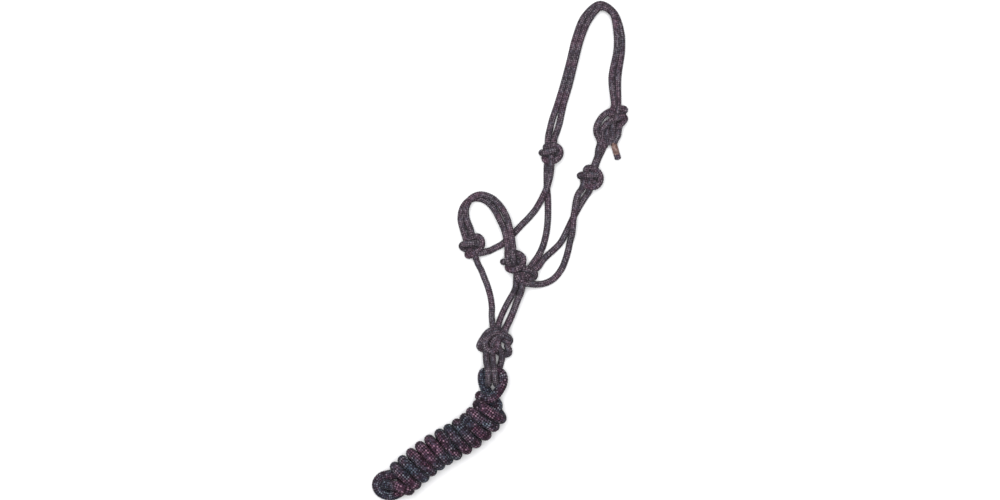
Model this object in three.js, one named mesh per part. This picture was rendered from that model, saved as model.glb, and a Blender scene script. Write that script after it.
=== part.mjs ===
// A horse's rope halter, laid flat on a table, with its lead rope wound into a hank.
//
// The halter is one braided rope tied in seven knots. Its two far and near sides lie
// beside each other: crown loop at +Y, nose loop at -X, fiador knot and lead at -Y.
// +Z is up. The origin is on the table, under the middle of the halter without its lead.
// All sizes are in millimetres. "Far" is the side lying away from the tie.

import * as THREE from "three";
import { mergeVertices } from "three/addons/utils/BufferGeometryUtils.js";

// ---- Ropes ----
const HALTER_ROPE = 9; // diameter of the halter's rope
const LEAD_ROPE = 14; // diameter of the lead rope
const GAP = 0.3; // clearance between ropes that touch
const PAIR_PITCH = HALTER_ROPE + GAP; // two strands side by side
const HALTER_STEP = 12; // length of one facet along a strand
const LEAD_STEP = 6; // the same where the lead bends tightly
const HALTER_SIDES = 8;
const LEAD_SIDES = 12;

// ---- Heights of a strand's centre line above the table ----
const LOW = HALTER_ROPE / 2 + 2 * GAP; // lying on the table
const MID = LOW + 4; // rising into the side of a knot
const HIGH = LOW + HALTER_ROPE + GAP; // lying across one strand

// ---- Knots: centre [x, y], half sizes [x, y, z], turn in plan (degrees) ----
const KNOT_HEIGHT = 11.5; // centre of a knot above the table
const FAR_CHEEK = { at: [11, 55], half: [18.5, 16, 12.5], turn: 0 };
const NEAR_CHEEK = { at: [67, 21], half: [18, 17.5, 12.5], turn: 0 };
const TIE = { at: [98, 94], half: [22, 27, 13.5], turn: 0 };
const FAR_NOSE = { at: [-104, -78], half: [18, 18, 12.5], turn: 0 };
const NEAR_NOSE = { at: [-43, -102], half: [17.5, 15.8, 12.5], turn: 36 };
const THROAT = { at: [-25, -127], half: [16, 14, 12.5], turn: 36 };
const KNOT_TURNS = 3; // turns of rope seen round a knot
const GROOVE = 0.1; // depth of the groove between them, as a share of the radius
const FLAT_FIADOR = 14; // radius of the fiador knot's flat underside

// ---- Fiador knot and the two loops that hold the lead ----
const FIADOR = [-72, -218];
const FIADOR_RADIUS = 24;
const FIADOR_HEIGHT = 26;
const BIGHT_Y = -259; // the lead's bight, where the halter's loops go round it
const BIGHT_Z = 17;
const LOOP_RADIUS = LEAD_ROPE / 2 + HALTER_ROPE / 2 + 3 * GAP;
const LEFT_LOOP_X = -78.2;
const RIGHT_LOOP_X = LEFT_LOOP_X + PAIR_PITCH;

// ---- Hank ----
const HANK_START = [-84, -327]; // centre of its round end beside the halter
const HANK_END = [-188, -401]; // centre of its other round end
const HANK_RADIUS = 25.5; // half its width
const HANK_HEIGHT = 43;
const HANK_ROUNDING = 9; // rounding of its long edges
const END_BIGHT_RADIUS = 12.7; // bend of the rope at the hank's end, to its centre line

const MIDDLE = [-2.05, 1.25]; // middle of the halter in plan, in the routes' own coordinates

// ---- Colours ----
const HALTER_COLOUR = 0x544b53;
const LEAD_COLOUR = 0x413742;
const TIP_COLOUR = 0x876d62;

function mesh(name, geometry, colour) {
  const material = new THREE.MeshStandardMaterial({ color: colour, roughness: 0.9, metalness: 0 });
  const part = new THREE.Mesh(geometry, material);
  part.name = name;
  return part;
}

// A polygon inscribed in the rope's round section, with a flat towards the table.
function ropeSection(diameter, sides) {
  const corners = [];
  for (let i = 0; i < sides; i += 1) {
    const angle = (2 * Math.PI * (i + 0.5)) / sides;
    corners.push(new THREE.Vector2(Math.cos(angle), Math.sin(angle)).multiplyScalar(diameter / 2));
  }
  return new THREE.Shape(corners);
}

// A closed tube along a smooth curve through the points.
function tube(points, diameter, sides, step) {
  const vectors = points.map((point) => new THREE.Vector3(...point));
  const path = new THREE.CatmullRomCurve3(vectors, false, "centripetal");
  const steps = Math.ceil(path.getLength() / step);
  return new THREE.ExtrudeGeometry(ropeSection(diameter, sides), { steps, extrudePath: path });
}

function halterStrand(name, points) {
  return mesh(name, tube(points, HALTER_ROPE, HALTER_SIDES, HALTER_STEP), HALTER_COLOUR);
}

function leadStrand(name, points) {
  return mesh(name, tube(points, LEAD_ROPE, LEAD_SIDES, LEAD_STEP), LEAD_COLOUR);
}

// The same route moved sideways in plan, for the second strand of a pair.
function beside(points, offset) {
  return points.map(([x, y, z], i) => {
    const before = points[Math.max(i - 1, 0)];
    const after = points[Math.min(i + 1, points.length - 1)];
    const along = new THREE.Vector2(after[0] - before[0], after[1] - before[1]).normalize();
    return [x - along.y * offset, y + along.x * offset, z];
  });
}

// Outer shape of a tight knot: a flattened ball with slanting grooves between the turns
// of rope, flat underneath where it lies on the table.
function knot(name, { at, half, turn }) {
  const ball = new THREE.SphereGeometry(1, 22, 14);
  ball.deleteAttribute("normal");
  ball.deleteAttribute("uv");
  const geometry = mergeVertices(ball);
  const position = geometry.attributes.position;
  const point = new THREE.Vector3();
  for (let i = 0; i < position.count; i += 1) {
    point.fromBufferAttribute(position, i);
    const phase = Math.atan2(point.z, point.x) + KNOT_TURNS * Math.PI * point.y * 0.5;
    const inward = GROOVE * (0.5 - 0.5 * Math.cos(2 * phase)) * (1 - point.y * point.y);
    point.multiplyScalar(1 - inward).multiply(new THREE.Vector3(...half));
    point.applyAxisAngle(new THREE.Vector3(0, 0, 1), THREE.MathUtils.degToRad(turn));
    point.add(new THREE.Vector3(at[0], at[1], KNOT_HEIGHT));
    position.setXYZ(i, point.x, point.y, Math.max(point.z, 0));
  }
  return mesh(name, geometry, HALTER_COLOUR);
}

// ---- Cheeks: the knots beside the head and the strands between them ----
function buildCheeks() {
  const cheeks = new THREE.Group();
  cheeks.add(
    knot("far_cheek_knot", FAR_CHEEK),
    knot("near_cheek_knot", NEAR_CHEEK),
    knot("halter_tie_knot", TIE),
    knot("far_nose_knot", FAR_NOSE),
    knot("near_nose_knot", NEAR_NOSE),
    knot("throat_knot", THROAT),
  );
  cheeks.add(
    halterStrand("far_cheek_strand", [
      [10.8, 37.5, HIGH], [9.5, 25, HIGH], [7, 14, HIGH], [4, 4, HIGH], [0, -4.5, HIGH - 1.2],
      [-4.5, -13.5, MID - 1], [-12, -26, LOW], [-22, -38, LOW], [-31, -47, LOW], [-42.5, -59.5, LOW],
      [-56, -72.5, LOW], [-63, -77.6, LOW], [-70.3, -81.2, LOW], [-77.6, -85, LOW], [-84.5, -87, MID],
    ]),
    halterStrand("far_throat_strand", [
      [5, 37.5, LOW], [4.6, 25, LOW], [4.6, 14, LOW], [5, 4, LOW], [6, -7, LOW], [6.4, -20, LOW],
      [6, -41, LOW], [4, -59, LOW], [-1.5, -80, LOW], [-8, -93, LOW], [-14.3, -102, LOW],
      [-18.6, -108.5, MID],
    ]),
    halterStrand("near_throat_strand", [
      [65, 1, MID], [61.3, -5, LOW], [56, -14, LOW], [50, -24, LOW], [43.5, -36, LOW],
      [37.3, -49, LOW], [32, -60, LOW], [24.5, -73.5, LOW], [14.2, -84.3, LOW], [7, -90.6, LOW],
      [-0.8, -98.5, LOW], [-7.6, -108, MID],
    ]),
    halterStrand("near_cheek_strand", [
      [55.5, 4, MID], [50, -4, HIGH], [46.5, -14.5, HIGH], [45, -24.5, HIGH], [43, -37.5, HIGH],
      [42, -49.5, HIGH], [41, -60, HIGH - 1], [38, -73, LOW], [35.4, -85.5, LOW], [31.4, -98.7, LOW],
      [26.6, -110.5, LOW], [17.2, -123.3, LOW], [9, -129.3, LOW], [0, -132.8, LOW], [-8, -133.8, MID],
    ]),
  );
  const tieLoop = [[82, 61], [79, 51], [75, 40.5]];
  cheeks.add(
    halterStrand("tie_loop_lower_strand", tieLoop.map(([x, y]) => [x, y, LOW])),
    halterStrand("tie_loop_upper_strand", tieLoop.map(([x, y]) => [x, y, HIGH])),
  );
  return cheeks;
}

// ---- Crown: two strands side by side, over the head behind the ears ----
function buildCrown() {
  const middle = [
    [11, 77, MID], [17.8, 102, LOW], [25, 128, LOW], [32.8, 154, LOW], [41.5, 188, LOW],
    [50.3, 222.5, LOW], [62.7, 251.5, LOW], [82, 269, LOW], [100, 259, LOW], [108.6, 232, LOW],
    [109.5, 206, LOW], [103.2, 165, LOW], [104.5, 125, MID],
  ];
  const crown = new THREE.Group();
  crown.add(
    halterStrand("crown_outer_strand", beside(middle, PAIR_PITCH / 2)),
    halterStrand("crown_inner_strand", beside(middle, -PAIR_PITCH / 2)),
  );
  return crown;
}

// ---- Noseband: two strands side by side, passing over the far cheek strand ----
function buildNoseband() {
  const middle = [
    [-110, -57.5, MID], [-115.8, -38, LOW], [-114, -22.3, LOW], [-105, -10.5, LOW], [-92, -7, LOW],
    [-78, -12, LOW + 2], [-66.7, -23.5, MID + 1], [-58.7, -38, HIGH], [-52.3, -56, HIGH],
    [-48, -82, HIGH],
  ];
  const noseband = new THREE.Group();
  noseband.add(
    halterStrand("noseband_outer_strand", beside(middle, PAIR_PITCH / 2)),
    halterStrand("noseband_inner_strand", beside(middle, -PAIR_PITCH / 2)),
  );
  return noseband;
}

// ---- Tail left over from the tie, with its whipped tip ----
function buildTail() {
  const tail = new THREE.Group();
  tail.add(
    mesh(
      "tail_whipping",
      tube([[101.6, 64.5, MID], [103.2, 59.2, MID - 2], [105, 53.8, LOW + 1]], HALTER_ROPE + 0.8, 12, 4),
      TIP_COLOUR,
    ),
    halterStrand("tail_end", [[105.4, 52.6, LOW + 1], [106.5, 49.4, LOW + 1], [107.6, 46.2, LOW + 1]]),
  );
  return tail;
}

// ---- Chin: four strands running down to the fiador knot ----
function buildFiadorKnot() {
  const profile = [
    [0, 0], [FLAT_FIADOR, 0], [FIADOR_RADIUS - 2, 3.5], [FIADOR_RADIUS, 8], [FIADOR_RADIUS - 1.6, 12.5],
    [FIADOR_RADIUS - 0.6, 17], [FIADOR_RADIUS - 4, 22.5], [FLAT_FIADOR - 2, FIADOR_HEIGHT - 0.8],
    [0, FIADOR_HEIGHT],
  ];
  const turned = new THREE.LatheGeometry(profile.map(([r, z]) => new THREE.Vector2(r, z)), 28);
  turned.rotateX(Math.PI / 2);
  const part = mesh("fiador_knot", turned, HALTER_COLOUR);
  part.position.set(FIADOR[0], FIADOR[1], 0);
  return part;
}

function buildChin() {
  const chin = new THREE.Group();
  chin.add(
    halterStrand("far_chin_strand", [
      [-96.5, -106, LOW], [-92, -113, LOW], [-87, -123, LOW], [-82, -136, LOW], [-78, -151, LOW],
      [-75.5, -165, LOW], [-75, -179, LOW], [-74, -191, MID],
    ]),
    halterStrand("near_chin_strand", [
      [-44.5, -146.5, LOW], [-49, -154, LOW], [-53.5, -162, LOW], [-58, -171, LOW], [-62, -181, LOW],
      [-65, -191, MID],
    ]),
    halterStrand("lower_fiador_strand", [
      [-33.5, -146, LOW], [-37, -154, LOW], [-40.5, -163, LOW], [-44.5, -174, LOW], [-49.5, -185, LOW],
      [-54.5, -195, MID],
    ]),
    halterStrand("upper_fiador_strand", [
      [-31.5, -147, HIGH], [-34.5, -155, HIGH], [-38, -164, HIGH], [-42, -174.5, HIGH],
      [-46.5, -185, HIGH], [-51.5, -194.5, HIGH + 3.5],
    ]),
    buildFiadorKnot(),
  );
  return chin;
}

// ---- The fiador knot's two loops, each over the lead's bight, round it and back under ----
function roundTheBight(x) {
  const arc = [];
  for (let i = 0; i <= 6; i += 1) {
    const angle = (Math.PI * i) / 6;
    arc.push([x, BIGHT_Y - LOOP_RADIUS * Math.sin(angle), BIGHT_Z + LOOP_RADIUS * Math.cos(angle)]);
  }
  return arc;
}

function buildLoops() {
  const loops = new THREE.Group();
  loops.add(
    mesh(
      "left_lead_loop",
      tube([[-83, -241.5, 20], ...roundTheBight(LEFT_LOOP_X), [-81, -243, LOW]], HALTER_ROPE, HALTER_SIDES, 5),
      HALTER_COLOUR,
    ),
    mesh(
      "right_lead_loop",
      tube([[-73, -243, 20], ...roundTheBight(RIGHT_LOOP_X), [-61, -242, LOW]], HALTER_ROPE, HALTER_SIDES, 5),
      HALTER_COLOUR,
    ),
  );
  return loops;
}

// ---- Lead: an eye through the loops, the hank, and the bend of its core at the far end ----
function buildHank() {
  const [startX, startY] = HANK_START;
  const [endX, endY] = HANK_END;
  const along = Math.atan2(endY - startY, endX - startX);
  const inner = HANK_RADIUS - HANK_ROUNDING;
  const outline = new THREE.Shape();
  outline.absarc(startX, startY, inner, along + Math.PI / 2, along + (3 * Math.PI) / 2, false);
  outline.absarc(endX, endY, inner, along - Math.PI / 2, along + Math.PI / 2, false);
  const geometry = new THREE.ExtrudeGeometry(outline, {
    depth: HANK_HEIGHT - 2 * HANK_ROUNDING,
    bevelThickness: HANK_ROUNDING,
    bevelSize: HANK_ROUNDING,
    bevelSegments: 3,
    curveSegments: 10,
  });
  geometry.translate(0, 0, HANK_ROUNDING);
  return mesh("lead_hank", geometry, LEAD_COLOUR);
}

function endBightRoute() {
  const along = new THREE.Vector2(HANK_END[0] - HANK_START[0], HANK_END[1] - HANK_START[1]).normalize();
  const across = new THREE.Vector2(-along.y, along.x);
  const place = (forward, side, z) => [
    HANK_END[0] + along.x * forward + across.x * side,
    HANK_END[1] + along.y * forward + across.y * side,
    z,
  ];
  const bendCentre = 47;
  const bend = [];
  for (let i = 0; i <= 6; i += 1) {
    const angle = (Math.PI * i) / 6;
    const forward = bendCentre + END_BIGHT_RADIUS * Math.sin(angle);
    bend.push(place(forward, 1 - END_BIGHT_RADIUS * Math.cos(angle), 11 - 3 * Math.sin(angle)));
  }
  return [place(27, 1 - END_BIGHT_RADIUS, 15), ...bend, place(26, 1 + END_BIGHT_RADIUS, 15)];
}

function buildLead() {
  const lead = new THREE.Group();
  lead.add(
    leadStrand("lead_eye", [
      [-62.5, -298.5, 9], [-69, -293, 7.6], [-77, -288, 7.6], [-85, -281, 8], [-90.4, -272, 10],
      [-89.2, -263.2, 15], [-83.5, BIGHT_Y, BIGHT_Z], [-74, BIGHT_Y, BIGHT_Z], [-64, BIGHT_Y, BIGHT_Z],
      [-58.4, -263.4, 18], [-57, -273, 20], [-61.5, -284, 22], [-71, -290.5, 22.8], [-81, -294, 22.8],
    ]),
    buildHank(),
    leadStrand("lead_end_bight", endBightRoute()),
  );
  return lead;
}

const halter = new THREE.Group();
halter.add(
  buildCheeks(),
  buildCrown(),
  buildNoseband(),
  buildTail(),
  buildChin(),
  buildLoops(),
  buildLead(),
);
halter.position.set(-MIDDLE[0], -MIDDLE[1], 0);

export default halter;
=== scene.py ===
# A horse's rope halter laid flat on a table, with its lead rope wound into a hank.
#
# The halter is one braided rope tied in seven knots. Every strand, knot and loop is the rope itself,
# swept along its own line with the braid in its surface. Lengths are in metres. Routes are given from
# the halter's middle, as in the CAD, and moved into the frame by MIDDLE.

import math

import bpy
import numpy as np
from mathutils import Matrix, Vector


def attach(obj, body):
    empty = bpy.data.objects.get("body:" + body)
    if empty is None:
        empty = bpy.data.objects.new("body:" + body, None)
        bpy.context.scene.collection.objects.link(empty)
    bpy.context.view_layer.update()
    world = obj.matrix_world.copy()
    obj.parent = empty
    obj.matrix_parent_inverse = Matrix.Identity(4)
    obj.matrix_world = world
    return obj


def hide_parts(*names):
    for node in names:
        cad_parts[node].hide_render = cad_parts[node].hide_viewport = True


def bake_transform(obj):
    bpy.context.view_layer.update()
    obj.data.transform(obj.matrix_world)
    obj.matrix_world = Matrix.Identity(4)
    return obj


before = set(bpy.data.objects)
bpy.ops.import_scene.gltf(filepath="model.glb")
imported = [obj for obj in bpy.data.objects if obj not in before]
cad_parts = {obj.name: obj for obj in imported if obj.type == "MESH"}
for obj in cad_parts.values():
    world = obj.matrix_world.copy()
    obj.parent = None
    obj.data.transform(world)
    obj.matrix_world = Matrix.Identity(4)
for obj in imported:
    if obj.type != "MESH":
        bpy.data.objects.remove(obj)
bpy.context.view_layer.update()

MIDDLE = np.array([0.00205, -0.00125, 0.0])

# Ropes
HALTER_ROPE = 0.009
LEAD_ROPE = 0.014
GAP = 0.0003
TAUT_RADIUS = 0.0042  # of the halter rope in the strands under the chin, which are pulled straight
PRESSED = 0.0085  # between the centre lines of two halter ropes that press on each other

# The twine whipped round the tail
WHIPPING_DIAMETER = 0.0094
WHIPPING_PITCH = 0.0014
WHIPPING_STEP = 0.0002
WHIPPING_SIDES = 48
WHIPPING_GROOVE = 0.93  # share of the radius between two turns of the twine
WHIPPING_RIB = 0.07  # share of the radius that the twine adds

# Heights of a strand's centre line above the table
LOW = HALTER_ROPE / 2 + 2 * GAP
MID = LOW + 0.004
HIGH = LOW + HALTER_ROPE + GAP


# ---- Camera: straight above, with the top of the picture towards +Y ----
def add_camera(location, lens, sensor_width):
    camera = bpy.data.objects.new("camera", bpy.data.cameras.new("camera"))
    camera.data.sensor_width = sensor_width
    camera.data.lens = lens
    camera.location = location
    bpy.context.scene.collection.objects.link(camera)
    bpy.context.scene.camera = camera


add_camera(location=(-0.0610, -0.08535, 2.5), lens=62.07, sensor_width=36.0)


# ---- Lines ----
FEWEST_POINTS = 4  # in a line
CURVE_POINTS = 16  # on a curve between two of the points that it is given


def normal(vector):
    return vector / np.linalg.norm(vector)


def evenly(line, step):
    """The line again, with points very nearly a step apart."""
    lengths = np.linalg.norm(np.diff(line[:, :3], axis=0), axis=1)
    along = np.concatenate([[0], np.cumsum(lengths)])
    count = max(FEWEST_POINTS, round(along[-1] / step) + 1)
    places = np.linspace(0, along[-1], count)
    return np.stack([np.interp(places, along, column) for column in line.T], axis=1)


def smooth(points, step):
    """A centripetal Catmull-Rom curve through the points, as the CAD's tubes follow."""
    points = np.array(points, float)
    guided = np.vstack([2 * points[0] - points[1], points, 2 * points[-1] - points[-2]])
    stretches = []
    for a, b, c, d in zip(guided, guided[1:], guided[2:], guided[3:]):
        first = np.linalg.norm(b - a) ** 0.5
        second = first + np.linalg.norm(c - b) ** 0.5
        third = second + np.linalg.norm(d - c) ** 0.5
        t = np.linspace(first, second, CURVE_POINTS, endpoint=False)[:, None]
        ab = (a * (first - t) + b * t) / first
        bc = (b * (second - t) + c * (t - first)) / (second - first)
        cd = (c * (third - t) + d * (t - second)) / (third - second)
        abc = (ab * (second - t) + bc * t) / second
        bcd = (bc * (third - t) + cd * (t - first)) / (third - first)
        stretches.append((abc * (second - t) + bcd * (t - first)) / (second - first))
    return evenly(np.vstack([*stretches, points[-1:]]), step)


def placed(line):
    """A line given from the halter's middle, moved into the frame. Only its first three columns are
    places: a fourth is a radius."""
    line = line.copy()
    line[:, :3] += MIDDLE
    return line


def with_radius(points, radius):
    return [(*point, radius) for point in points]


def pair(points, side):
    """One strand of two that run together, on the left of their route for side 1 and on the right for
    side -1. A point is x, y, the lower strand's height, and the distance between the strands in plan.
    Where that is less than PRESSED, the right one lies on the left one."""
    points = np.array(points, float)
    before = np.vstack([points[:1], points[:-1]])
    after = np.vstack([points[1:], points[-1:]])
    along = (after - before)[:, :2]
    along /= np.linalg.norm(along, axis=1)[:, None]
    apart = points[:, 3]
    rise = np.sqrt(np.clip(PRESSED ** 2 - apart ** 2, 0, None)) if side < 0 else 0
    return np.column_stack([
        points[:, 0] - side * apart / 2 * along[:, 1],
        points[:, 1] + side * apart / 2 * along[:, 0],
        points[:, 2] + rise,
    ])


# ---- A rope: a swept tube with a diamond braid in its surface ----
class Braid:
    """How a rope is braided: its diameter, its yarns in each direction, one yarn's length along it,
    and the braid's depth as a share of the radius."""

    def __init__(self, diameter, yarns, length, depth):
        self.radius = diameter / 2
        self.yarns = yarns
        self.length = length
        self.depth = depth
        self.sides = 3 * yarns
        self.step = length / 3


YARN_OFFSET = 1 / 6  # puts a vertex on the middle of each yarn's float
FLOAT_DIP = 0.6  # how far a yarn goes down at the ends of its float, where its top is at 1
MEAN_HEIGHT = 0.55  # of the braid, so that a rope keeps its diameter
HALTER_BRAID = Braid(HALTER_ROPE, yarns=10, length=0.0028, depth=0.24)
LEAD_BRAID = Braid(LEAD_ROPE, yarns=13, length=0.0032, depth=0.20)

# The rounding of a tube's end, in shares of its radius
END_RINGS = ((0.55, 0.60), (0.40, 0.85), (0.20, 0.97))  # (how far beyond the line's end, width)
END_TIP = 0.65  # how far the tip is beyond the line's end
ASKEW = (0.31, 0.17, 0.93)  # a direction that no line starts along


def braid_height(p, q):
    """Height, from 0 to 1, of two sets of yarns that pass over and under each other."""
    over = (np.floor(p) + np.floor(q)) % 2 == 0
    across = np.where(over, q, p) % 1
    along = np.where(over, p, q) % 1
    crown = np.sqrt(np.clip(1 - (2 * across - 1) ** 2, 0, 1))
    return crown * (1 - FLOAT_DIP * (2 * along - 1) ** 2)


def sides_along(line):
    """Unit vectors along the line, and one across it at each point that never twists round it."""
    along = np.gradient(line, axis=0)
    along /= np.linalg.norm(along, axis=1)[:, None]
    across = np.empty_like(along)
    side = np.cross(along[0], ASKEW)
    for i, direction in enumerate(along):
        side = normal(side - direction * side.dot(direction))
        across[i] = side
    return along, across


def with_round_ends(line, along, across, radius, length):
    """A tube's rings, with those of END_RINGS added at both ends, and its two tips."""
    beyond = [-share * radius.mean() for share, _ in END_RINGS]
    widths = [width for _, width in END_RINGS]
    more = len(END_RINGS)
    tip = END_TIP * radius.mean()
    tips = np.stack([line[0] - along[0] * tip, line[-1] + along[-1] * tip])
    line = np.vstack([
        *(line[0] + along[0] * b for b in beyond), line,
        *(line[-1] - along[-1] * b for b in reversed(beyond)),
    ])
    along = np.vstack([*[along[:1]] * more, along, *[along[-1:]] * more])
    across = np.vstack([*[across[:1]] * more, across, *[across[-1:]] * more])
    radius = np.vstack([
        *(radius[:1] * w for w in widths), radius, *(radius[-1:] * w for w in reversed(widths)),
    ])
    before, after = length[0] + np.array(beyond), length[-1] - np.array(beyond[::-1])
    return line, along, across, radius, np.concatenate([before, length, after]), tips


def wall_faces(count, sides):
    """The faces between a tube's rings, with each corner's ring and its turn from 0 to 1."""
    ring, side = (grid.ravel() for grid in np.indices((count - 1, sides)))
    following = (side + 1) % sides
    faces = np.column_stack([
        ring * sides + side, ring * sides + following,
        (ring + 1) * sides + following, (ring + 1) * sides + side,
    ])
    rings = np.stack([ring, ring, ring + 1, ring + 1], axis=1)
    return faces, rings, np.stack([side, side + 1, side + 1, side], axis=1) / sides


def cap_faces(count, sides):
    """The faces from a tube's first and last rings to its tips, with each corner's turn."""
    side = np.arange(sides)
    following = (side + 1) % sides
    last = (count - 1) * sides
    tip = np.full(sides, count * sides)
    faces = np.vstack([
        np.column_stack([following, side, tip]),
        np.column_stack([last + side, last + following, tip + 1]),
    ])
    turns = np.vstack([
        np.column_stack([side + 1, side, side + 0.5]), np.column_stack([side, side + 1, side + 0.5]),
    ])
    return faces, turns / sides


def sweep(line, radius, step):
    """Vertices, faces and face-corner UVs of a tube along a line of points a step apart, with one row
    of radii for each point. U is the length along it in metres and V goes from 0 to 1 round it."""
    along, across = sides_along(line)
    length = np.arange(len(line)) * step
    line, along, across, radius, length, tips = with_round_ends(line, along, across, radius, length)
    count, sides = radius.shape
    angle = 2 * math.pi * (np.arange(sides) / sides)
    rings = (
        line[:, None, :]
        + radius[:, :, None] * np.cos(angle)[None, :, None] * across[:, None, :]
        + radius[:, :, None] * np.sin(angle)[None, :, None] * np.cross(along, across)[:, None, :]
    )
    walls, wall_rings, wall_turns = wall_faces(count, sides)
    caps, cap_turns = cap_faces(count, sides)
    cap_lengths = np.repeat([length[0], length[-1]], sides)[:, None].repeat(3, axis=1)
    return (
        np.vstack([rings.reshape(-1, 3), tips]), walls, caps,
        np.stack([length[wall_rings], wall_turns], axis=2).reshape(-1, 2),
        np.stack([cap_lengths, cap_turns], axis=2).reshape(-1, 2),
    )


def rope(line, braid):
    """A braided rope along a line of points braid.step apart. A fourth column in the line is the
    rope's radius where it is squeezed."""
    radius = line[:, 3:] if line.shape[1] > 3 else braid.radius
    around = np.arange(braid.sides)[None, :] / braid.sides * braid.yarns + YARN_OFFSET
    forward = np.arange(len(line))[:, None] * braid.step / braid.length
    height = braid_height(around + forward, around - forward)
    return sweep(line[:, :3], radius * (1 + braid.depth * (height - MEAN_HEIGHT)), braid.step)


def make_object(name, tubes, material):
    """One mesh object that holds the tubes made by sweep()."""
    vertices, walls, caps, wall_uvs, cap_uvs = zip(*tubes)
    starts = np.cumsum([0, *(len(made) for made in vertices[:-1])])
    faces = [face for group in (walls, caps) for made, start in zip(group, starts)
             for face in (made + start).tolist()]
    mesh = bpy.data.meshes.new(name)
    mesh.from_pydata(np.vstack(vertices).tolist(), [], faces)
    uv_map = mesh.uv_layers.new(name="rope")
    uv_map.data.foreach_set("uv", np.vstack(wall_uvs + cap_uvs).astype(np.float32).ravel())
    mesh.shade_smooth()
    mesh.materials.append(material)
    piece = bpy.data.objects.new(name, mesh)
    bpy.context.scene.collection.objects.link(piece)
    return piece


# ---- Materials ----
def srgb(red, green, blue):
    """A colour given in screen values from 0 to 255, as Blender's linear one."""
    parts = [value / 255 for value in (red, green, blue)]
    return (*((p / 12.92 if p <= 0.04045 else ((p + 0.055) / 1.055) ** 2.4) for p in parts), 1.0)


class Shader:
    """A node material in the making: each call adds one node or a few and gives their output."""

    def __init__(self, name):
        self.material = bpy.data.materials.new(name)
        self.material.use_nodes = True
        self.tree = self.material.node_tree
        self.tree.nodes.clear()

    def node(self, kind, inputs, **settings):
        made = self.tree.nodes.new("ShaderNode" + kind)
        for key, value in settings.items():
            setattr(made, key, value)
        for key, value in inputs.items():
            if isinstance(value, bpy.types.NodeSocket):
                self.tree.links.new(value, made.inputs[key])
            else:
                made.inputs[key].default_value = value
        return made

    def math(self, operation, *values):
        return self.node("Math", dict(enumerate(values)), operation=operation).outputs[0]

    def scaled(self, value, factor, offset=0.0):
        """value * factor + offset"""
        return self.math("MULTIPLY_ADD", value, factor, offset)

    def vector(self, *values):
        return self.node("CombineXYZ", dict(enumerate(values))).outputs[0]

    def random(self, vector):
        return self.node("TexWhiteNoise", {"Vector": vector}, noise_dimensions="3D").outputs["Value"]

    def clouds(self, vector, scale, detail=2.0):
        inputs = {"Vector": vector, "Scale": scale, "Detail": detail}
        return self.node("TexNoise", inputs).outputs["Fac"]

    def ramp(self, value, stops, interpolation="LINEAR"):
        made = self.node("ValToRGB", {"Fac": value})
        elements = made.color_ramp.elements
        made.color_ramp.interpolation = interpolation
        while len(elements) < len(stops):
            elements.new(1.0)
        for element, (position, colour) in zip(elements, stops):
            element.position = position
            element.color = colour
        return made.outputs["Color"]

    def multiplied(self, first, second):
        """The product of two colours."""
        inputs = {0: 1.0, 6: first, 7: second}
        return self.node("Mix", inputs, data_type="RGBA", blend_type="MULTIPLY").outputs[2]

    def shaded(self, colour, shade):
        return self.multiplied(colour, self.vector(shade, shade, shade))

    def rope_uv(self):
        """The length along a rope in metres, and the turn round it from 0 to 1."""
        uv = self.node("SeparateXYZ", {0: self.node("UVMap", {}, uv_map="rope").outputs[0]})
        return uv.outputs[0], uv.outputs[1]

    def rope_place(self, length, turn, radius):
        """A place for clouds that run on along a rope and meet round it."""
        angle = self.math("MULTIPLY", turn, 2 * math.pi)
        return self.vector(
            length,
            self.math("MULTIPLY", self.math("COSINE", angle), radius),
            self.math("MULTIPLY", self.math("SINE", angle), radius),
        )

    def finish(self, colour, roughness, height, bump_distance):
        """Dull fibre of that colour, with the height as bump."""
        bump = self.node("Bump", {"Height": height, "Distance": bump_distance, "Strength": 0.6})
        surface = self.node("BsdfPrincipled", {
            "Base Color": colour,
            "Roughness": roughness,
            "Normal": bump.outputs["Normal"],
            "Sheen Weight": 0.04,
            "Sheen Roughness": 0.3,
            "Specular IOR Level": 0.2,
        })
        self.node("OutputMaterial", {"Surface": surface.outputs["BSDF"]})
        return self.material


DIRECTION_SHARE = 0.38  # of a yarn's pick of colour that follows its direction; the rest is random
GROOVE_SHADE = 0.12  # painted shade: how light a rope is painted between its yarns
CROWN_SHADE = 0.95  # painted light: how much lighter it is painted on their tops
UP_SHADE = 1.14  # painted light: how light a surface that faces up is painted, as if lit from above
TINT_RADIUS = 0.006  # of the circle round a rope on which its tint's clouds are taken
YARN_ROUGHNESS = 0.82  # of the darkest yarns
PALE_ROUGHNESS = 0.12  # how much rougher the palest are
YARN_BUMP = 0.0006

# The filaments in a yarn
FILAMENT_WAVE = 31.0  # radians across a yarn
FILAMENT_SLANT = 2.0  # radians along its float
FILAMENT_SHIFT = 20.0  # radians, at most, from one yarn to another
FILAMENT_SHADE = 0.25  # painted shade: how much darker it is painted between two filaments
FILAMENT_HEIGHT = 0.12  # where a yarn's own height is 1

# The look of the twine round the tail
TWINE_WAVE = 150.0  # radians of its strands round the tail
TWINE_SLANT = 9.0  # radians more with each winding
# Painted shade between the twine's strands and between its ribs
TWINE_STRAND_SHADE = 0.08
TWINE_STRAND_HEIGHT = 0.1  # where a rib of twine has a height of 1
TWINE_RIB_SHADE = 0.6  # painted shade: how much darker it is painted between two ribs
TWINE_CLOUDS = 300.0
TWINE_CLOUD_RADIUS = 0.004
TWINE_ROUGHNESS = 0.8
TWINE_BUMP = 0.0005


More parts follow.
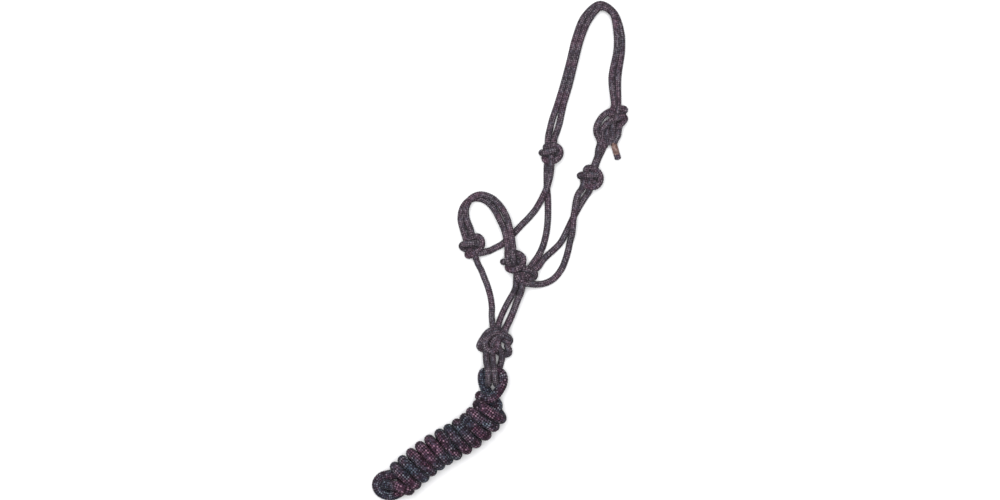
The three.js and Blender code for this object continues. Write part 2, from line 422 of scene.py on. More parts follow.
def yarn_floats(s, braid, length, turn):
    """Which yarn's float each point of a braided rope is on: a place to draw its colour from, its
    direction as 0 or 1, and where the point is across and along it from 0 to 1."""
    forward = s.math("DIVIDE", length, braid.length)
    around = s.scaled(turn, float(braid.yarns), YARN_OFFSET)
    p, q = s.math("ADD", around, forward), s.math("SUBTRACT", around, forward)
    p_cell, q_cell = s.math("FLOOR", p), s.math("FLOOR", q)
    p_part, q_part = s.math("FRACT", p), s.math("FRACT", q)
    cells = s.math("ADD", p_cell, q_cell)
    under = s.math("FLOORED_MODULO", cells, 2.0)
    difference = s.math("SUBTRACT", p_part, q_part)
    across = s.math("ADD", q_part, s.math("MULTIPLY", under, difference))
    along = s.math("SUBTRACT", p_part, s.math("MULTIPLY", under, difference))
    cell = s.vector(
        s.math("SUBTRACT", p_cell, q_cell), s.math("FLOORED_MODULO", cells, 2.0 * braid.yarns), 0.0
    )
    return cell, under, across, along


def dome(s, part):
    """A parabola from 0 to 0 that is 1 where part is 0.5."""
    outward = s.math("ABSOLUTE", s.scaled(part, 2.0, -1.0))
    return s.math("SUBTRACT", 1.0, s.math("POWER", outward, 2.0))


def float_height(s, across, along):
    """A yarn's height from 0 to 1, as in braid_height()."""
    crown = s.math("SQRT", s.math("MAXIMUM", dome(s, across), 0.0))
    return s.math("MULTIPLY", crown, s.scaled(dome(s, along), FLOAT_DIP, 1 - FLOAT_DIP))


def filament_ribs(s, across, along, pick):
    """Fine ribs from 0 to 1 that run along each yarn."""
    shifted = s.scaled(across, FILAMENT_WAVE, s.math("MULTIPLY", pick, FILAMENT_SHIFT))
    wave = s.math("SINE", s.scaled(along, FILAMENT_SLANT, shifted))
    return s.scaled(wave, 0.5, 0.5)


def painted_facing_shade(s, side_shade):
    """Painted shade and light: side_shade where a surface faces sideways or down, UP_SHADE where it faces
    up.
    """
    up = s.node("SeparateXYZ", {0: s.node("TexCoord", {}).outputs["Normal"]}).outputs[2]
    return s.scaled(s.math("MAXIMUM", up, 0.0), UP_SHADE - side_shade, side_shade)


def braided(name, braid, yarn_colours, tints, tint_scale, side_shade, wide_patches):
    """A braided rope's material: each yarn's float has its own colour and filaments, painted shade at its
    edges and painted light on its crown. The tint changes slowly along the rope, or in wide patches over
    all its turns. Painted shade dims the rope's sides to side_shade, and painted light brightens its top."""
    s = Shader(name)
    length, turn = s.rope_uv()
    cell, under, across, along = yarn_floats(s, braid, length, turn)
    by_direction = s.math("MULTIPLY", under, DIRECTION_SHARE)
    pick = s.scaled(s.random(cell), 1 - DIRECTION_SHARE, by_direction)
    yarn = float_height(s, across, along)
    ribs = filament_ribs(s, across, along, pick)
    if wide_patches:
        place = s.node("TexCoord", {}).outputs["Object"]
    else:
        place = s.rope_place(length, turn, TINT_RADIUS)
    tint = s.ramp(s.clouds(place, tint_scale), tints)
    colour = s.multiplied(s.ramp(pick, yarn_colours, "CONSTANT"), tint)
    # Painted shade: dark in the grooves between yarns and filaments, light on the crowns, darker on the
    # sides
    shade = s.scaled(yarn, CROWN_SHADE, GROOVE_SHADE)
    shade = s.math("MULTIPLY", shade, s.scaled(ribs, FILAMENT_SHADE, 1 - FILAMENT_SHADE))
    shade = s.math("MULTIPLY", shade, painted_facing_shade(s, side_shade))
    return s.finish(
        s.shaded(colour, shade), roughness=s.scaled(pick, PALE_ROUGHNESS, YARN_ROUGHNESS),
        height=s.scaled(ribs, FILAMENT_HEIGHT, yarn), bump_distance=YARN_BUMP,
    )


def whipped(name, pitch, colours):
    """The twine wound round the tail: its ribs run round the tail, with finer strands in each."""
    s = Shader(name)
    length, turn = s.rope_uv()
    winding = s.math("ADD", s.math("DIVIDE", length, pitch), turn)
    rib = s.math("ABSOLUTE", s.math("SINE", s.math("MULTIPLY", winding, math.pi)))
    strands = s.math("SINE", s.scaled(turn, TWINE_WAVE, s.math("MULTIPLY", winding, TWINE_SLANT)))
    clouds = s.clouds(s.rope_place(length, turn, TWINE_CLOUD_RADIUS), TWINE_CLOUDS)
    # Painted shade between the ribs and between the strands
    rib_shade = s.scaled(rib, TWINE_RIB_SHADE, 1 - TWINE_RIB_SHADE)
    strand_shade = s.scaled(strands, TWINE_STRAND_SHADE, 1 - TWINE_STRAND_SHADE)
    shade = s.math("MULTIPLY", rib_shade, strand_shade)
    return s.finish(
        s.shaded(s.ramp(clouds, colours), shade), roughness=TWINE_ROUGHNESS,
        height=s.scaled(strands, TWINE_STRAND_HEIGHT, rib), bump_distance=TWINE_BUMP,
    )


# Yarns, from dark to pale: (the pick from which a colour is used, colour)
HALTER_YARNS = [
    (0.00, srgb(42, 35, 41)),
    (0.20, srgb(58, 49, 57)),
    (0.38, srgb(76, 66, 75)),
    (0.52, srgb(89, 85, 96)),
    (0.64, srgb(106, 90, 101)),
    (0.76, srgb(115, 105, 113)),
    (0.88, srgb(129, 120, 127)),
]
LEAD_YARNS = [
    (0.00, srgb(21, 13, 20)),
    (0.22, srgb(36, 25, 34)),
    (0.40, srgb(54, 43, 55)),
    (0.54, srgb(68, 66, 78)),
    (0.66, srgb(87, 72, 85)),
    (0.78, srgb(102, 95, 105)),
    (0.89, srgb(128, 122, 130)),
]

# Tints that multiply a rope's colour, and the twine's own colours: (place in the clouds, colour)
HALTER_TINTS = [(0.32, (0.88, 1.00, 1.00, 1)), (0.50, (1.00, 0.97, 1.00, 1)), (0.68, (1.16, 0.90, 1.02, 1))]
LEAD_TINTS = [(0.42, (0.74, 1.01, 1.10, 1)), (0.50, (0.98, 0.93, 1.00, 1)), (0.58, (1.32, 0.80, 1.00, 1))]
WHIPPING_COLOURS = [(0.35, srgb(104, 80, 74)), (0.50, srgb(136, 106, 98)), (0.66, srgb(168, 146, 142))]

# side_shade is the painted shade on each rope's sides, as if lit from above
halter_material = braided(
    "braided_halter_rope", HALTER_BRAID, HALTER_YARNS, HALTER_TINTS, tint_scale=22.0,
    side_shade=0.42, wide_patches=False,
)
lead_material = braided(
    "braided_lead_rope", LEAD_BRAID, LEAD_YARNS, LEAD_TINTS, tint_scale=28.0, side_shade=0.72,
    wide_patches=True,
)
whipping_material = whipped("tan_whipping", WHIPPING_PITCH, WHIPPING_COLOURS)


# ---- Lead rope: the free cord, so it comes before the halter ----
# The hank's middle in plan, from the halter to the far end
HANK_AXIS = [
    (-0.0729, -0.3104, 0), (-0.0778, -0.3159, 0), (-0.0980, -0.3378, 0), (-0.1245, -0.3562, 0),
    (-0.1510, -0.3710, 0), (-0.1748, -0.3880, 0), (-0.1983, -0.4079, 0), (-0.2103, -0.4174, 0),
]
WRAPS = 11
WRAP_PITCH = 0.0153
WRAP_POINTS = 16  # on each wrap
WRAP_SQUARENESS = 0.85  # 1 for an ellipse, and less for one with fuller corners
HANK_HALF_WIDTH = 0.0195
HANK_HALF_HEIGHT = 0.0145
LOWEST = 0.0079  # centre line of the lead where it lies on the table
HANK_MIDDLE_Z = LOWEST + HANK_HALF_HEIGHT
AXIS_STEP = 0.001
AXIS_REACH = 0.004  # each way from a point of the hank's axis, to find its direction
CORE_START = 0.022  # of the straight legs inside the wraps, along the hank's axis
CORE_END = 0.150
CORE_POINTS = 8
CORE_SPACING = 0.0108
CORE_RADIUS = 0.0054
FREE_RADIUS = LEAD_ROPE / 2
# The bend at the hank's far end, which joins the two legs of its core
FAR_BEND = [
    (-0.2081, -0.4054, 0.0185), (-0.2213, -0.4083, 0.0130), (-0.2342, -0.4124, 0.0090),
    (-0.2407, -0.4218, 0.0080), (-0.2377, -0.4318, 0.0079), (-0.2284, -0.4376, 0.0079),
    (-0.2187, -0.4383, 0.0085), (-0.2081, -0.4335, 0.0125), (-0.2010, -0.4256, 0.0180),
]
# From the core round the halter's loops and back to the first wrap
EYE = [
    (-0.0696, -0.3149, 0.0185), (-0.0663, -0.3081, 0.0135), (-0.0703, -0.3016, 0.0105),
    (-0.0757, -0.2967, 0.0090), (-0.0808, -0.2900, 0.0082), (-0.0848, -0.2828, 0.0084),
    (-0.0873, -0.2755, 0.0094), (-0.0880, -0.2675, 0.0115), (-0.0863, -0.2614, 0.0145),
    (-0.0812, -0.2604, 0.0170), (-0.0740, -0.2609, 0.0170), (-0.0651, -0.2604, 0.0170),
    (-0.0602, -0.2638, 0.0180), (-0.0589, -0.2712, 0.0195), (-0.0608, -0.2788, 0.0212),
    (-0.0651, -0.2864, 0.0226), (-0.0700, -0.2923, 0.0236), (-0.0764, -0.2964, 0.0240),
    (-0.0831, -0.2973, 0.0238), (-0.0887, -0.2961, 0.0220), (-0.0916, -0.2943, 0.0180),
    (-0.0919, -0.2949, 0.0132), (-0.0898, -0.2990, 0.0094), (-0.0845, -0.3045, 0.0080),
]
# From the last wrap into the far bend
TUCKED_END = [
    (-0.1928, -0.4292, 0.0200), (-0.2000, -0.4266, 0.0315), (-0.2087, -0.4228, 0.0300),
    (-0.2185, -0.4219, 0.0240), (-0.2278, -0.4211, 0.0185),
]


def hank_place(axis, forward, side, z):
    """The point of that height, that far along the hank's axis and to the left of it."""
    length = np.arange(len(axis)) * np.linalg.norm(axis[1] - axis[0])
    behind, at, ahead = (
        np.array([np.interp(forward + nudge, length, axis[:, k]) for k in range(3)])
        for nudge in (-AXIS_REACH, 0, AXIS_REACH)
    )
    along = normal(ahead - behind)
    return at + side * np.array([-along[1], along[0], 0]) + np.array([0, 0, z])


def hank_leg(axis, places, side):
    """One of the lead's two straight legs inside the wraps."""
    return [hank_place(axis, forward, side, HANK_MIDDLE_Z) for forward in places]


def hank_wraps(axis):
    """The rope's turns round the hank, over it from its left and back underneath."""
    points = []
    for i in range(WRAPS * WRAP_POINTS + 1):
        turns = i / WRAP_POINTS
        out, up = (
            math.copysign(abs(part) ** WRAP_SQUARENESS, part)
            for part in (math.sin(2 * math.pi * turns), -math.cos(2 * math.pi * turns))
        )
        height = HANK_MIDDLE_Z + HANK_HALF_HEIGHT * up
        points.append(hank_place(axis, WRAP_PITCH * turns, HANK_HALF_WIDTH * out, height))
    return points


def lead_route():
    """The lead's whole line, from its start inside the hank's core to its end, tucked in the far bend."""
    axis = smooth(HANK_AXIS, AXIS_STEP)
    core = np.linspace(CORE_START, CORE_END, CORE_POINTS)
    points = [
        *with_radius(hank_leg(axis, core, -CORE_SPACING / 2), CORE_RADIUS),
        *with_radius(FAR_BEND, FREE_RADIUS),
        *with_radius(hank_leg(axis, core[::-1], CORE_SPACING / 2), CORE_RADIUS),
        *with_radius([*EYE, *hank_wraps(axis), *TUCKED_END], FREE_RADIUS),
    ]
    return placed(smooth(points, LEAD_BRAID.step))


def make_lead():
    line = lead_route()
    lead = make_object("lead_rope", [rope(line, LEAD_BRAID)], lead_material)
    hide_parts("lead_eye", "lead_hank", "lead_end_bight")
    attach(lead, "lead")


make_lead()


# ---- The halter's strands: each stands for the CAD node of the same name ----
def lay(node, routes):
    """A piece of halter rope along one or several routes, in place of a CAD node."""
    lines = [placed(smooth(route, HALTER_BRAID.step)) for route in routes]
    tubes = [rope(line, HALTER_BRAID) for line in lines]
    piece = make_object(node + "_rope", tubes, halter_material)
    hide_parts(node)
    return piece


FAR_CHEEK_STRAND = [
    (0.0102, 0.0580, 0.0140), (0.0109, 0.0457, 0.0150), (0.0108, 0.0375, HIGH), (0.0095, 0.0250, HIGH),
    (0.0070, 0.0140, HIGH), (0.0040, 0.0040, HIGH), (0.0000, -0.0045, HIGH - 0.0012),
    (-0.0045, -0.0135, MID - 0.001), (-0.0120, -0.0260, LOW), (-0.0220, -0.0380, LOW),
    (-0.0310, -0.0470, LOW), (-0.0425, -0.0595, LOW), (-0.0560, -0.0725, LOW), (-0.0630, -0.0776, LOW),
    (-0.0703, -0.0812, LOW), (-0.0776, -0.0850, LOW), (-0.0845, -0.0870, MID),
    (-0.0921, -0.0885, 0.0120), (-0.1008, -0.0856, 0.0100),
]
FAR_THROAT_STRAND = [
    (0.0080, 0.0609, 0.0070), (0.0065, 0.0464, 0.0070), (0.0050, 0.0375, LOW), (0.0046, 0.0250, LOW),
    (0.0046, 0.0140, LOW), (0.0050, 0.0040, LOW), (0.0060, -0.0070, LOW), (0.0064, -0.0200, LOW),
    (0.0060, -0.0410, LOW), (0.0040, -0.0590, LOW), (-0.0015, -0.0800, LOW), (-0.0080, -0.0930, LOW),
    (-0.0143, -0.1020, LOW), (-0.0186, -0.1085, MID), (-0.0254, -0.1145, 0.0120),
    (-0.0326, -0.1225, 0.0100),
]
NEAR_THROAT_STRAND = [
    (0.0703, 0.0276, 0.0120), (0.0667, 0.0130, 0.0110), (0.0657, 0.0010, MID), (0.0619, -0.0050, LOW),
    (0.0560, -0.0140, LOW), (0.0500, -0.0240, LOW), (0.0435, -0.0360, LOW), (0.0373, -0.0490, LOW),
    (0.0320, -0.0600, LOW), (0.0245, -0.0735, LOW), (0.0142, -0.0843, LOW), (0.0070, -0.0906, LOW),
    (-0.0008, -0.0985, LOW), (-0.0076, -0.1080, MID), (-0.0152, -0.1145, 0.0120),
    (-0.0232, -0.1218, 0.0120), (-0.0297, -0.1290, 0.0090),
]
NEAR_CHEEK_STRAND = [
    (0.0616, 0.0290, 0.0120), (0.0587, 0.0145, 0.0110), (0.0550, 0.0040, MID), (0.0496, -0.0040, HIGH),
    (0.0465, -0.0145, HIGH), (0.0450, -0.0245, HIGH), (0.0430, -0.0375, HIGH), (0.0420, -0.0495, HIGH),
    (0.0410, -0.0600, HIGH - 0.001), (0.0380, -0.0730, LOW), (0.0354, -0.0855, LOW),
    (0.0314, -0.0987, LOW), (0.0266, -0.1105, LOW), (0.0172, -0.1233, LOW), (0.0090, -0.1293, LOW),
    (0.0000, -0.1328, LOW), (-0.0080, -0.1338, MID), (-0.0181, -0.1334, 0.0140),
    (-0.0276, -0.1312, 0.0180), (-0.0355, -0.1269, 0.0195), (-0.0391, -0.1196, 0.0180),
    (-0.0399, -0.1116, 0.0130),
]
TIE_LOOP = [
    (0.0880, 0.0760, LOW, 0.0060), (0.0820, 0.0610, LOW, 0.0058), (0.0790, 0.0510, LOW, 0.0024),
    (0.0750, 0.0405, LOW, 0.0022), (0.0710, 0.0290, LOW, 0.0022),
]
CROWN = [
    (0.0105, 0.0620, MID + 0.002, 0.0080), (0.0110, 0.0770, MID, 0.0090),
    (0.0146, 0.0900, LOW, 0.0108), (0.0178, 0.1020, LOW, 0.0113), (0.0250, 0.1280, LOW, 0.0084),
    (0.0328, 0.1540, LOW, 0.0083), (0.0415, 0.1880, LOW, 0.0074), (0.0503, 0.2225, LOW, 0.0079),
    (0.0627, 0.2515, LOW, 0.0084), (0.0820, 0.2690, LOW, 0.0054), (0.1000, 0.2590, LOW, 0.0031),
    (0.1086, 0.2320, LOW, 0.0067), (0.1095, 0.2060, LOW, 0.0074), (0.1032, 0.1650, LOW, 0.0092),
    (0.1045, 0.1250, MID, 0.0060), (0.1031, 0.1174, 0.0130, 0.0070), (0.1008, 0.1087, 0.0090, 0.0070),
]
NOSEBAND = [
    (-0.1063, -0.0760, MID + 0.002, 0.0085), (-0.1080, -0.0665, MID, 0.0090),
    (-0.1100, -0.0575, MID, 0.0103), (-0.1158, -0.0380, LOW, 0.0082), (-0.1140, -0.0223, LOW, 0.0044),
    (-0.1050, -0.0105, LOW, -0.0006), (-0.0920, -0.0070, LOW, -0.0054),
    (-0.0780, -0.0120, LOW + 0.002, -0.0082), (-0.0667, -0.0235, MID + 0.001, -0.0100),
    (-0.0587, -0.0380, HIGH, -0.0106), (-0.0523, -0.0560, HIGH, -0.0080),
    (-0.0480, -0.0820, HIGH, -0.0078), (-0.0483, -0.0914, 0.0175, -0.0078),
    (-0.0474, -0.0993, 0.0165, -0.0078), (-0.0449, -0.1066, 0.0095, -0.0075),
]
FAR_CHIN_STRAND = [
    (-0.1008, -0.0856, 0.0100), (-0.0976, -0.0971, 0.0070), (-0.0940, -0.1060, LOW),
    (-0.0902, -0.1130, LOW), (-0.0863, -0.1230, LOW), (-0.0812, -0.1360, LOW), (-0.0770, -0.1510, LOW),
    (-0.0749, -0.1650, LOW), (-0.0750, -0.1790, LOW), (-0.0740, -0.1910, MID),
    (-0.0725, -0.2030, 0.0130),
]
NEAR_CHIN_STRAND = [
    (-0.0391, -0.1160, 0.0140), (-0.0399, -0.1269, 0.0140), (-0.0406, -0.1378, 0.0100),
    (-0.0440, -0.1465, LOW), (-0.0483, -0.1540, LOW), (-0.0528, -0.1620, LOW), (-0.0573, -0.1710, LOW),
    (-0.0617, -0.1810, LOW), (-0.0650, -0.1910, MID), (-0.0660, -0.2030, 0.0130),
]
LOWER_FIADOR_STRAND = [
    (-0.0326, -0.1174, 0.0090), (-0.0319, -0.1290, 0.0080), (-0.0319, -0.1392, 0.0070),
    (-0.0335, -0.1460, LOW), (-0.0370, -0.1540, LOW), (-0.0405, -0.1630, LOW), (-0.0445, -0.1740, LOW),
    (-0.0495, -0.1850, LOW), (-0.0545, -0.1950, MID), (-0.0616, -0.2066, 0.0100),
]
UPPER_FIADOR_STRAND = [
    (-0.0319, -0.1189, 0.0140), (-0.0307, -0.1290, 0.0160), (-0.0316, -0.1392, 0.0160),
    (-0.0334, -0.1470, HIGH), (-0.0369, -0.1550, HIGH), (-0.0404, -0.1640, HIGH),
    (-0.0444, -0.1745, HIGH), (-0.0488, -0.1850, HIGH), (-0.0534, -0.1945, HIGH + 0.0035),
    (-0.0580, -0.2052, 0.0180), (-0.0653, -0.2081, 0.0150),
]

for node, route in (
    ("far_cheek_strand", FAR_CHEEK_STRAND),
    ("far_throat_strand", FAR_THROAT_STRAND),
    ("near_throat_strand", NEAR_THROAT_STRAND),
    ("near_cheek_strand", NEAR_CHEEK_STRAND),
    ("tie_loop_lower_strand", pair(TIE_LOOP, 1)),
    ("tie_loop_upper_strand", pair(TIE_LOOP, -1)),
):
    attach(lay(node, [route]), "cheeks")


# ---- Knots: the turns of rope seen in each ----
FAR_CHEEK_KNOT = [
    [
        (0.0123, 0.0594, 0.0050), (0.0051, 0.0616, 0.0060), (0.0033, 0.0648, 0.0095),
        (0.0080, 0.0663, 0.0140), (0.0152, 0.0663, 0.0160), (0.0217, 0.0626, 0.0155),
        (0.0241, 0.0565, 0.0145), (0.0219, 0.0496, 0.0145), (0.0159, 0.0449, 0.0145),
        (0.0080, 0.0438, 0.0130), (0.0022, 0.0464, 0.0100), (0.0019, 0.0508, 0.0060),
        (0.0065, 0.0529, 0.0050), (0.0138, 0.0529, 0.0060), (0.0193, 0.0551, 0.0110),
        (0.0186, 0.0586, 0.0170), (0.0123, 0.0586, 0.0205), (0.0051, 0.0568, 0.0200),
        (-0.0007, 0.0563, 0.0165), (-0.0030, 0.0563, 0.0115), (0.0000, 0.0557, 0.0070),
        (0.0065, 0.0551, 0.0050),
    ],
]
NEAR_CHEEK_KNOT = [
    [
        (0.0674, 0.0246, 0.0050), (0.0616, 0.0290, 0.0070), (0.0622, 0.0334, 0.0100),
        (0.0674, 0.0342, 0.0140), (0.0740, 0.0315, 0.0160), (0.0796, 0.0264, 0.0160),
        (0.0819, 0.0196, 0.0150), (0.0802, 0.0126, 0.0145), (0.0744, 0.0075, 0.0140),
        (0.0667, 0.0073, 0.0125), (0.0602, 0.0102, 0.0090), (0.0573, 0.0152, 0.0080),
        (0.0594, 0.0188, 0.0055), (0.0660, 0.0196, 0.0055), (0.0725, 0.0194, 0.0070),
        (0.0768, 0.0209, 0.0120), (0.0754, 0.0232, 0.0180), (0.0689, 0.0238, 0.0210),
        (0.0616, 0.0235, 0.0200), (0.0547, 0.0242, 0.0160), (0.0523, 0.0231, 0.0115),
        (0.0558, 0.0215, 0.0070), (0.0631, 0.0210, 0.0050),
    ],
    [
        (0.0645, 0.0145, 0.0060), (0.0718, 0.0138, 0.0070), (0.0776, 0.0174, 0.0065),
    ],
]
FAR_NOSE_KNOT = [
    [
        (-0.1008, -0.0740, 0.0050), (-0.1066, -0.0711, 0.0070), (-0.1095, -0.0696, 0.0080),
        (-0.1022, -0.0660, 0.0130), (-0.0950, -0.0647, 0.0150), (-0.0899, -0.0696, 0.0150),
        (-0.0892, -0.0768, 0.0150), (-0.0928, -0.0834, 0.0140), (-0.1001, -0.0879, 0.0130),
        (-0.1058, -0.0919, 0.0120), (-0.1099, -0.0914, 0.0095), (-0.1066, -0.0856, 0.0060),
        (-0.0993, -0.0812, 0.0060), (-0.0938, -0.0776, 0.0110), (-0.0950, -0.0742, 0.0170),
        (-0.1022, -0.0747, 0.0205), (-0.1095, -0.0751, 0.0200), (-0.1156, -0.0758, 0.0165),
        (-0.1182, -0.0787, 0.0115), (-0.1145, -0.0822, 0.0070), (-0.1080, -0.0826, 0.0050),
    ],
]
NEAR_NOSE_KNOT = [
    [
        (-0.0413, -0.0971, 0.0050), (-0.0486, -0.0950, 0.0070), (-0.0442, -0.0899, 0.0110),
        (-0.0370, -0.0893, 0.0140), (-0.0306, -0.0943, 0.0150), (-0.0297, -0.1015, 0.0155),
        (-0.0326, -0.1077, 0.0170), (-0.0394, -0.1116, 0.0190), (-0.0467, -0.1131, 0.0175),
        (-0.0515, -0.1099, 0.0120), (-0.0493, -0.1058, 0.0070), (-0.0399, -0.1044, 0.0065),
        (-0.0355, -0.1015, 0.0100), (-0.0399, -0.1001, 0.0110), (-0.0471, -0.1005, 0.0105),
        (-0.0544, -0.1011, 0.0120), (-0.0587, -0.1011, 0.0100), (-0.0558, -0.1015, 0.0065),
        (-0.0471, -0.1022, 0.0050),
    ],
]
THROAT_KNOT = [
    [
        (-0.0384, -0.1131, 0.0080), (-0.0326, -0.1109, 0.0130), (-0.0254, -0.1116, 0.0180),
        (-0.0181, -0.1145, 0.0180), (-0.0129, -0.1186, 0.0140), (-0.0138, -0.1228, 0.0090),
        (-0.0210, -0.1269, 0.0060), (-0.0312, -0.1283, 0.0060), (-0.0384, -0.1247, 0.0070),
    ],
    [
        (-0.0225, -0.1334, 0.0060), (-0.0203, -0.1261, 0.0090), (-0.0225, -0.1189, 0.0080),
    ],
]
HALTER_TIE_KNOT = [
    [
        (0.0826, 0.0653, 0.0080), (0.0805, 0.0754, 0.0120), (0.0766, 0.0837, 0.0150),
        (0.0760, 0.0919, 0.0160), (0.0795, 0.1009, 0.0160), (0.0867, 0.1101, 0.0150),
        (0.0963, 0.1161, 0.0110), (0.1073, 0.1186, 0.0075), (0.1145, 0.1201, 0.0085),
        (0.1174, 0.1192, 0.0080), (0.1153, 0.1160, 0.0060), (0.1051, 0.1131, 0.0050),
    ],
    [
        (0.0882, 0.0653, 0.0080), (0.0851, 0.0754, 0.0120), (0.0840, 0.0841, 0.0155),
        (0.0858, 0.0914, 0.0180), (0.0915, 0.0983, 0.0200), (0.0993, 0.1032, 0.0205),
        (0.1073, 0.1066, 0.0185), (0.1145, 0.1079, 0.0155), (0.1173, 0.1051, 0.0115),
        (0.1143, 0.1006, 0.0105), (0.1099, 0.0957, 0.0120), (0.1080, 0.0885, 0.0130),
        (0.1070, 0.0812, 0.0120), (0.1034, 0.0747, 0.0105), (0.1014, 0.0703, 0.0095),
    ],
    [
        (0.1022, 0.1102, 0.0090), (0.0998, 0.0986, 0.0140), (0.0992, 0.0885, 0.0155),
        (0.0983, 0.0783, 0.0140), (0.0960, 0.0706, 0.0095),
    ],
    [
        (0.0950, 0.1015, 0.0090), (0.0924, 0.0899, 0.0120), (0.0912, 0.0798, 0.0125),
        (0.0921, 0.0703, 0.0085),
    ],
    [
        (0.1037, 0.1015, 0.0055), (0.1015, 0.0914, 0.0055), (0.1001, 0.0798, 0.0055),
    ],
]
FIADOR_KNOT = [
    [
        (-0.0631, -0.2015, 0.0110), (-0.0681, -0.1998, 0.0140), (-0.0747, -0.1998, 0.0155),
        (-0.0812, -0.2034, 0.0150), (-0.0863, -0.2102, 0.0135), (-0.0906, -0.2168, 0.0120),
        (-0.0927, -0.2224, 0.0105), (-0.0906, -0.2262, 0.0075), (-0.0841, -0.2281, 0.0055),
        (-0.0761, -0.2266, 0.0050),
    ],
    [
        (-0.0551, -0.2015, 0.0100), (-0.0624, -0.2027, 0.0160), (-0.0711, -0.2033, 0.0200),
        (-0.0790, -0.2074, 0.0210), (-0.0837, -0.2143, 0.0210), (-0.0840, -0.2223, 0.0210),
        (-0.0796, -0.2282, 0.0210), (-0.0726, -0.2292, 0.0210), (-0.0671, -0.2237, 0.0205),
        (-0.0660, -0.2160, 0.0195), (-0.0677, -0.2107, 0.0160),
    ],
    [
        (-0.0515, -0.2197, 0.0055), (-0.0486, -0.2153, 0.0080), (-0.0510, -0.2102, 0.0135),
        (-0.0573, -0.2074, 0.0170), (-0.0641, -0.2088, 0.0175), (-0.0706, -0.2126, 0.0170),
        (-0.0744, -0.2184, 0.0160), (-0.0742, -0.2248, 0.0130), (-0.0740, -0.2305, 0.0115),
    ],
    [
        (-0.0638, -0.2110, 0.0090), (-0.0655, -0.2175, 0.0095), (-0.0655, -0.2240, 0.0100),
        (-0.0622, -0.2300, 0.0115), (-0.0603, -0.2356, 0.0110), (-0.0608, -0.2436, 0.0075),
    ],
    [
        (-0.0587, -0.2124, 0.0080), (-0.0525, -0.2171, 0.0110), (-0.0526, -0.2233, 0.0120),
        (-0.0502, -0.2281, 0.0125), (-0.0503, -0.2329, 0.0110), (-0.0550, -0.2350, 0.0085),
        (-0.0616, -0.2334, 0.0060), (-0.0689, -0.2298, 0.0060),
    ],
    [
        (-0.0819, -0.2088, 0.0080), (-0.0805, -0.2175, 0.0090), (-0.0819, -0.2262, 0.0110),
        (-0.0831, -0.2320, 0.0115),
    ],
    [
        (-0.0747, -0.2059, 0.0060), (-0.0740, -0.2175, 0.0060), (-0.0689, -0.2262, 0.0060),
    ],
]

for node, turns, body in (
    ("far_cheek_knot", FAR_CHEEK_KNOT, "cheeks"),
    ("near_cheek_knot", NEAR_CHEEK_KNOT, "cheeks"),
    ("halter_tie_knot", HALTER_TIE_KNOT, "cheeks"),
    ("far_nose_knot", FAR_NOSE_KNOT, "cheeks"),
    ("near_nose_knot", NEAR_NOSE_KNOT, "cheeks"),
    ("throat_knot", THROAT_KNOT, "cheeks"),
    ("fiador_knot", FIADOR_KNOT, "chin"),
):
    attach(lay(node, turns), body)


for node, side in (("crown_outer_strand", 1), ("crown_inner_strand", -1)):
    piece = lay(node, [pair(CROWN, side)])
    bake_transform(piece)

for node, side in (("noseband_outer_strand", 1), ("noseband_inner_strand", -1)):
    piece = lay(node, [pair(NOSEBAND, side)])
    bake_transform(piece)

for node, route in (
    ("far_chin_strand", with_radius(FAR_CHIN_STRAND, TAUT_RADIUS)),
    ("near_chin_strand", with_radius(NEAR_CHIN_STRAND, TAUT_RADIUS)),
    ("lower_fiador_strand", LOWER_FIADOR_STRAND),
    ("upper_fiador_strand", UPPER_FIADOR_STRAND),
):
    piece = lay(node, [route])
    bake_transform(piece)


# ---- Loops that hold the lead ----
BIGHT_Y = -0.2590  # centre line of the lead, where the loops go round it
BIGHT_Z = 0.0170
LOOP_RADIUS = 0.0124
LOOP_REACH = 0.0185  # how far the loops' bends reach past the bight's centre line, in plan
BEND_STEPS = 6


def loop_route(x_over, x_under, front, back):
    """A loop's two legs and its bend round the lead's bight, from over it to under it."""
    bend = []
    for i in range(BEND_STEPS + 1):
        angle = math.pi * i / BEND_STEPS
        x = x_over + (x_under - x_over) * i / BEND_STEPS
        y = BIGHT_Y - LOOP_REACH * math.sin(angle)
        bend.append((x, y, BIGHT_Z + LOOP_RADIUS * math.cos(angle)))
    return [*front, *bend, *back]


for node, x_over, x_under, front, back in (
    (
        "left_lead_loop", -0.0800, -0.0790,
        [(-0.0832, -0.2280, 0.0115), (-0.0832, -0.2340, 0.0155), (-0.0830, -0.2415, 0.0200)],
        [(-0.0810, -0.2430, LOW), (-0.0790, -0.2300, LOW)],
    ),
    (
        "right_lead_loop", -0.0712, -0.0650,
        [(-0.0738, -0.2280, 0.0115), (-0.0738, -0.2340, 0.0155), (-0.0730, -0.2430, 0.0200)],
        [(-0.0606, -0.2420, LOW + 0.001), (-0.0600, -0.2300, LOW + 0.002)],
    ),
):
    piece = lay(node, [loop_route(x_over, x_under, front, back)])
    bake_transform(piece)


# ---- The tail left over from the tie, whipped with twine almost to its end ----
TAIL_WHIPPING = [
    (0.1002, 0.0725, 0.0095), (0.1026, 0.0645, MID), (0.1043, 0.0592, MID - 0.002),
    (0.1060, 0.0538, LOW + 0.001),
]
TAIL_END = [
    (0.1058, 0.0544, LOW + 0.001), (0.1066, 0.0518, LOW + 0.001), (0.1073, 0.0492, LOW + 0.001),
]


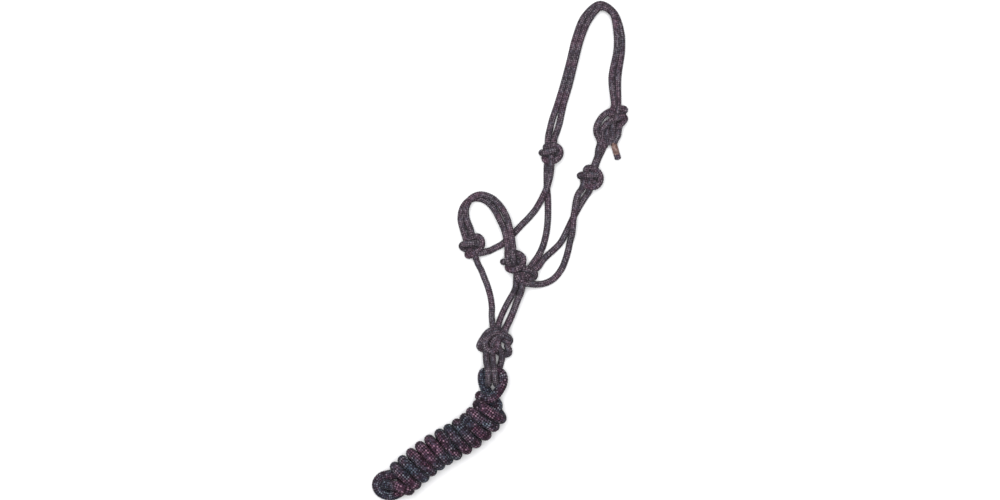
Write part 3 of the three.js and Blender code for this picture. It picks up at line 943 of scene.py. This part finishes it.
def add_whipping():
    line = placed(smooth(TAIL_WHIPPING, WHIPPING_STEP))
    along = np.arange(len(line))[:, None] * WHIPPING_STEP
    turn = np.arange(WHIPPING_SIDES)[None, :] / WHIPPING_SIDES
    rib = np.abs(np.sin(math.pi * (along / WHIPPING_PITCH + turn)))
    radius = WHIPPING_DIAMETER / 2 * (WHIPPING_GROOVE + WHIPPING_RIB * rib)
    tube = sweep(line, radius, WHIPPING_STEP)
    twine = make_object("tail_whipping_twine", [tube], whipping_material)
    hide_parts("tail_whipping")
    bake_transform(twine)


add_whipping()
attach(lay("tail_end", [TAIL_END]), "tail")


# ---- Floor and light ----
FLOOR_SIDE = 8


def add_floor():
    s = Shader("floor")
    surface = s.node("BsdfDiffuse", {"Color": (0.86, 0.86, 0.87, 1.0), "Roughness": 0.5})
    s.node("OutputMaterial", {"Surface": surface.outputs["BSDF"]})
    mesh = bpy.data.meshes.new("floor")
    edge = FLOOR_SIDE / 2
    corners = [(-edge, -edge, 0), (edge, -edge, 0), (edge, edge, 0), (-edge, edge, 0)]
    mesh.from_pydata(corners, [], [(0, 1, 2, 3)])
    mesh.materials.append(s.material)
    floor = bpy.data.objects.new("floor", mesh)
    bpy.context.scene.collection.objects.link(floor)


def add_light(name, location, size, energy, aim=(0.0, -0.08, 0.0)):
    """A square soft box that faces the halter."""
    light = bpy.data.lights.new(name, "AREA")
    light.shape = "SQUARE"
    light.size = size
    light.energy = energy
    lamp = bpy.data.objects.new(name, light)
    lamp.location = location
    lamp.rotation_euler = (Vector(aim) - lamp.location).to_track_quat("-Z", "Y").to_euler()
    bpy.context.scene.collection.objects.link(lamp)


def add_world(colour, strength):
    world = bpy.data.worlds.new("studio")
    world.use_nodes = True
    background = world.node_tree.nodes["Background"]
    background.inputs["Color"].default_value = colour
    background.inputs["Strength"].default_value = strength
    bpy.context.scene.world = world


add_floor()
add_light("overhead_softbox", location=(-0.10, 0.10, 2.2), size=1.9, energy=76.0)
add_light("left_softbox", location=(-1.8, 0.6, 1.3), size=1.0, energy=5.0)
add_world(colour=(1.0, 1.0, 1.0, 1.0), strength=0.28)
bpy.context.scene.view_settings.view_transform = "Standard"
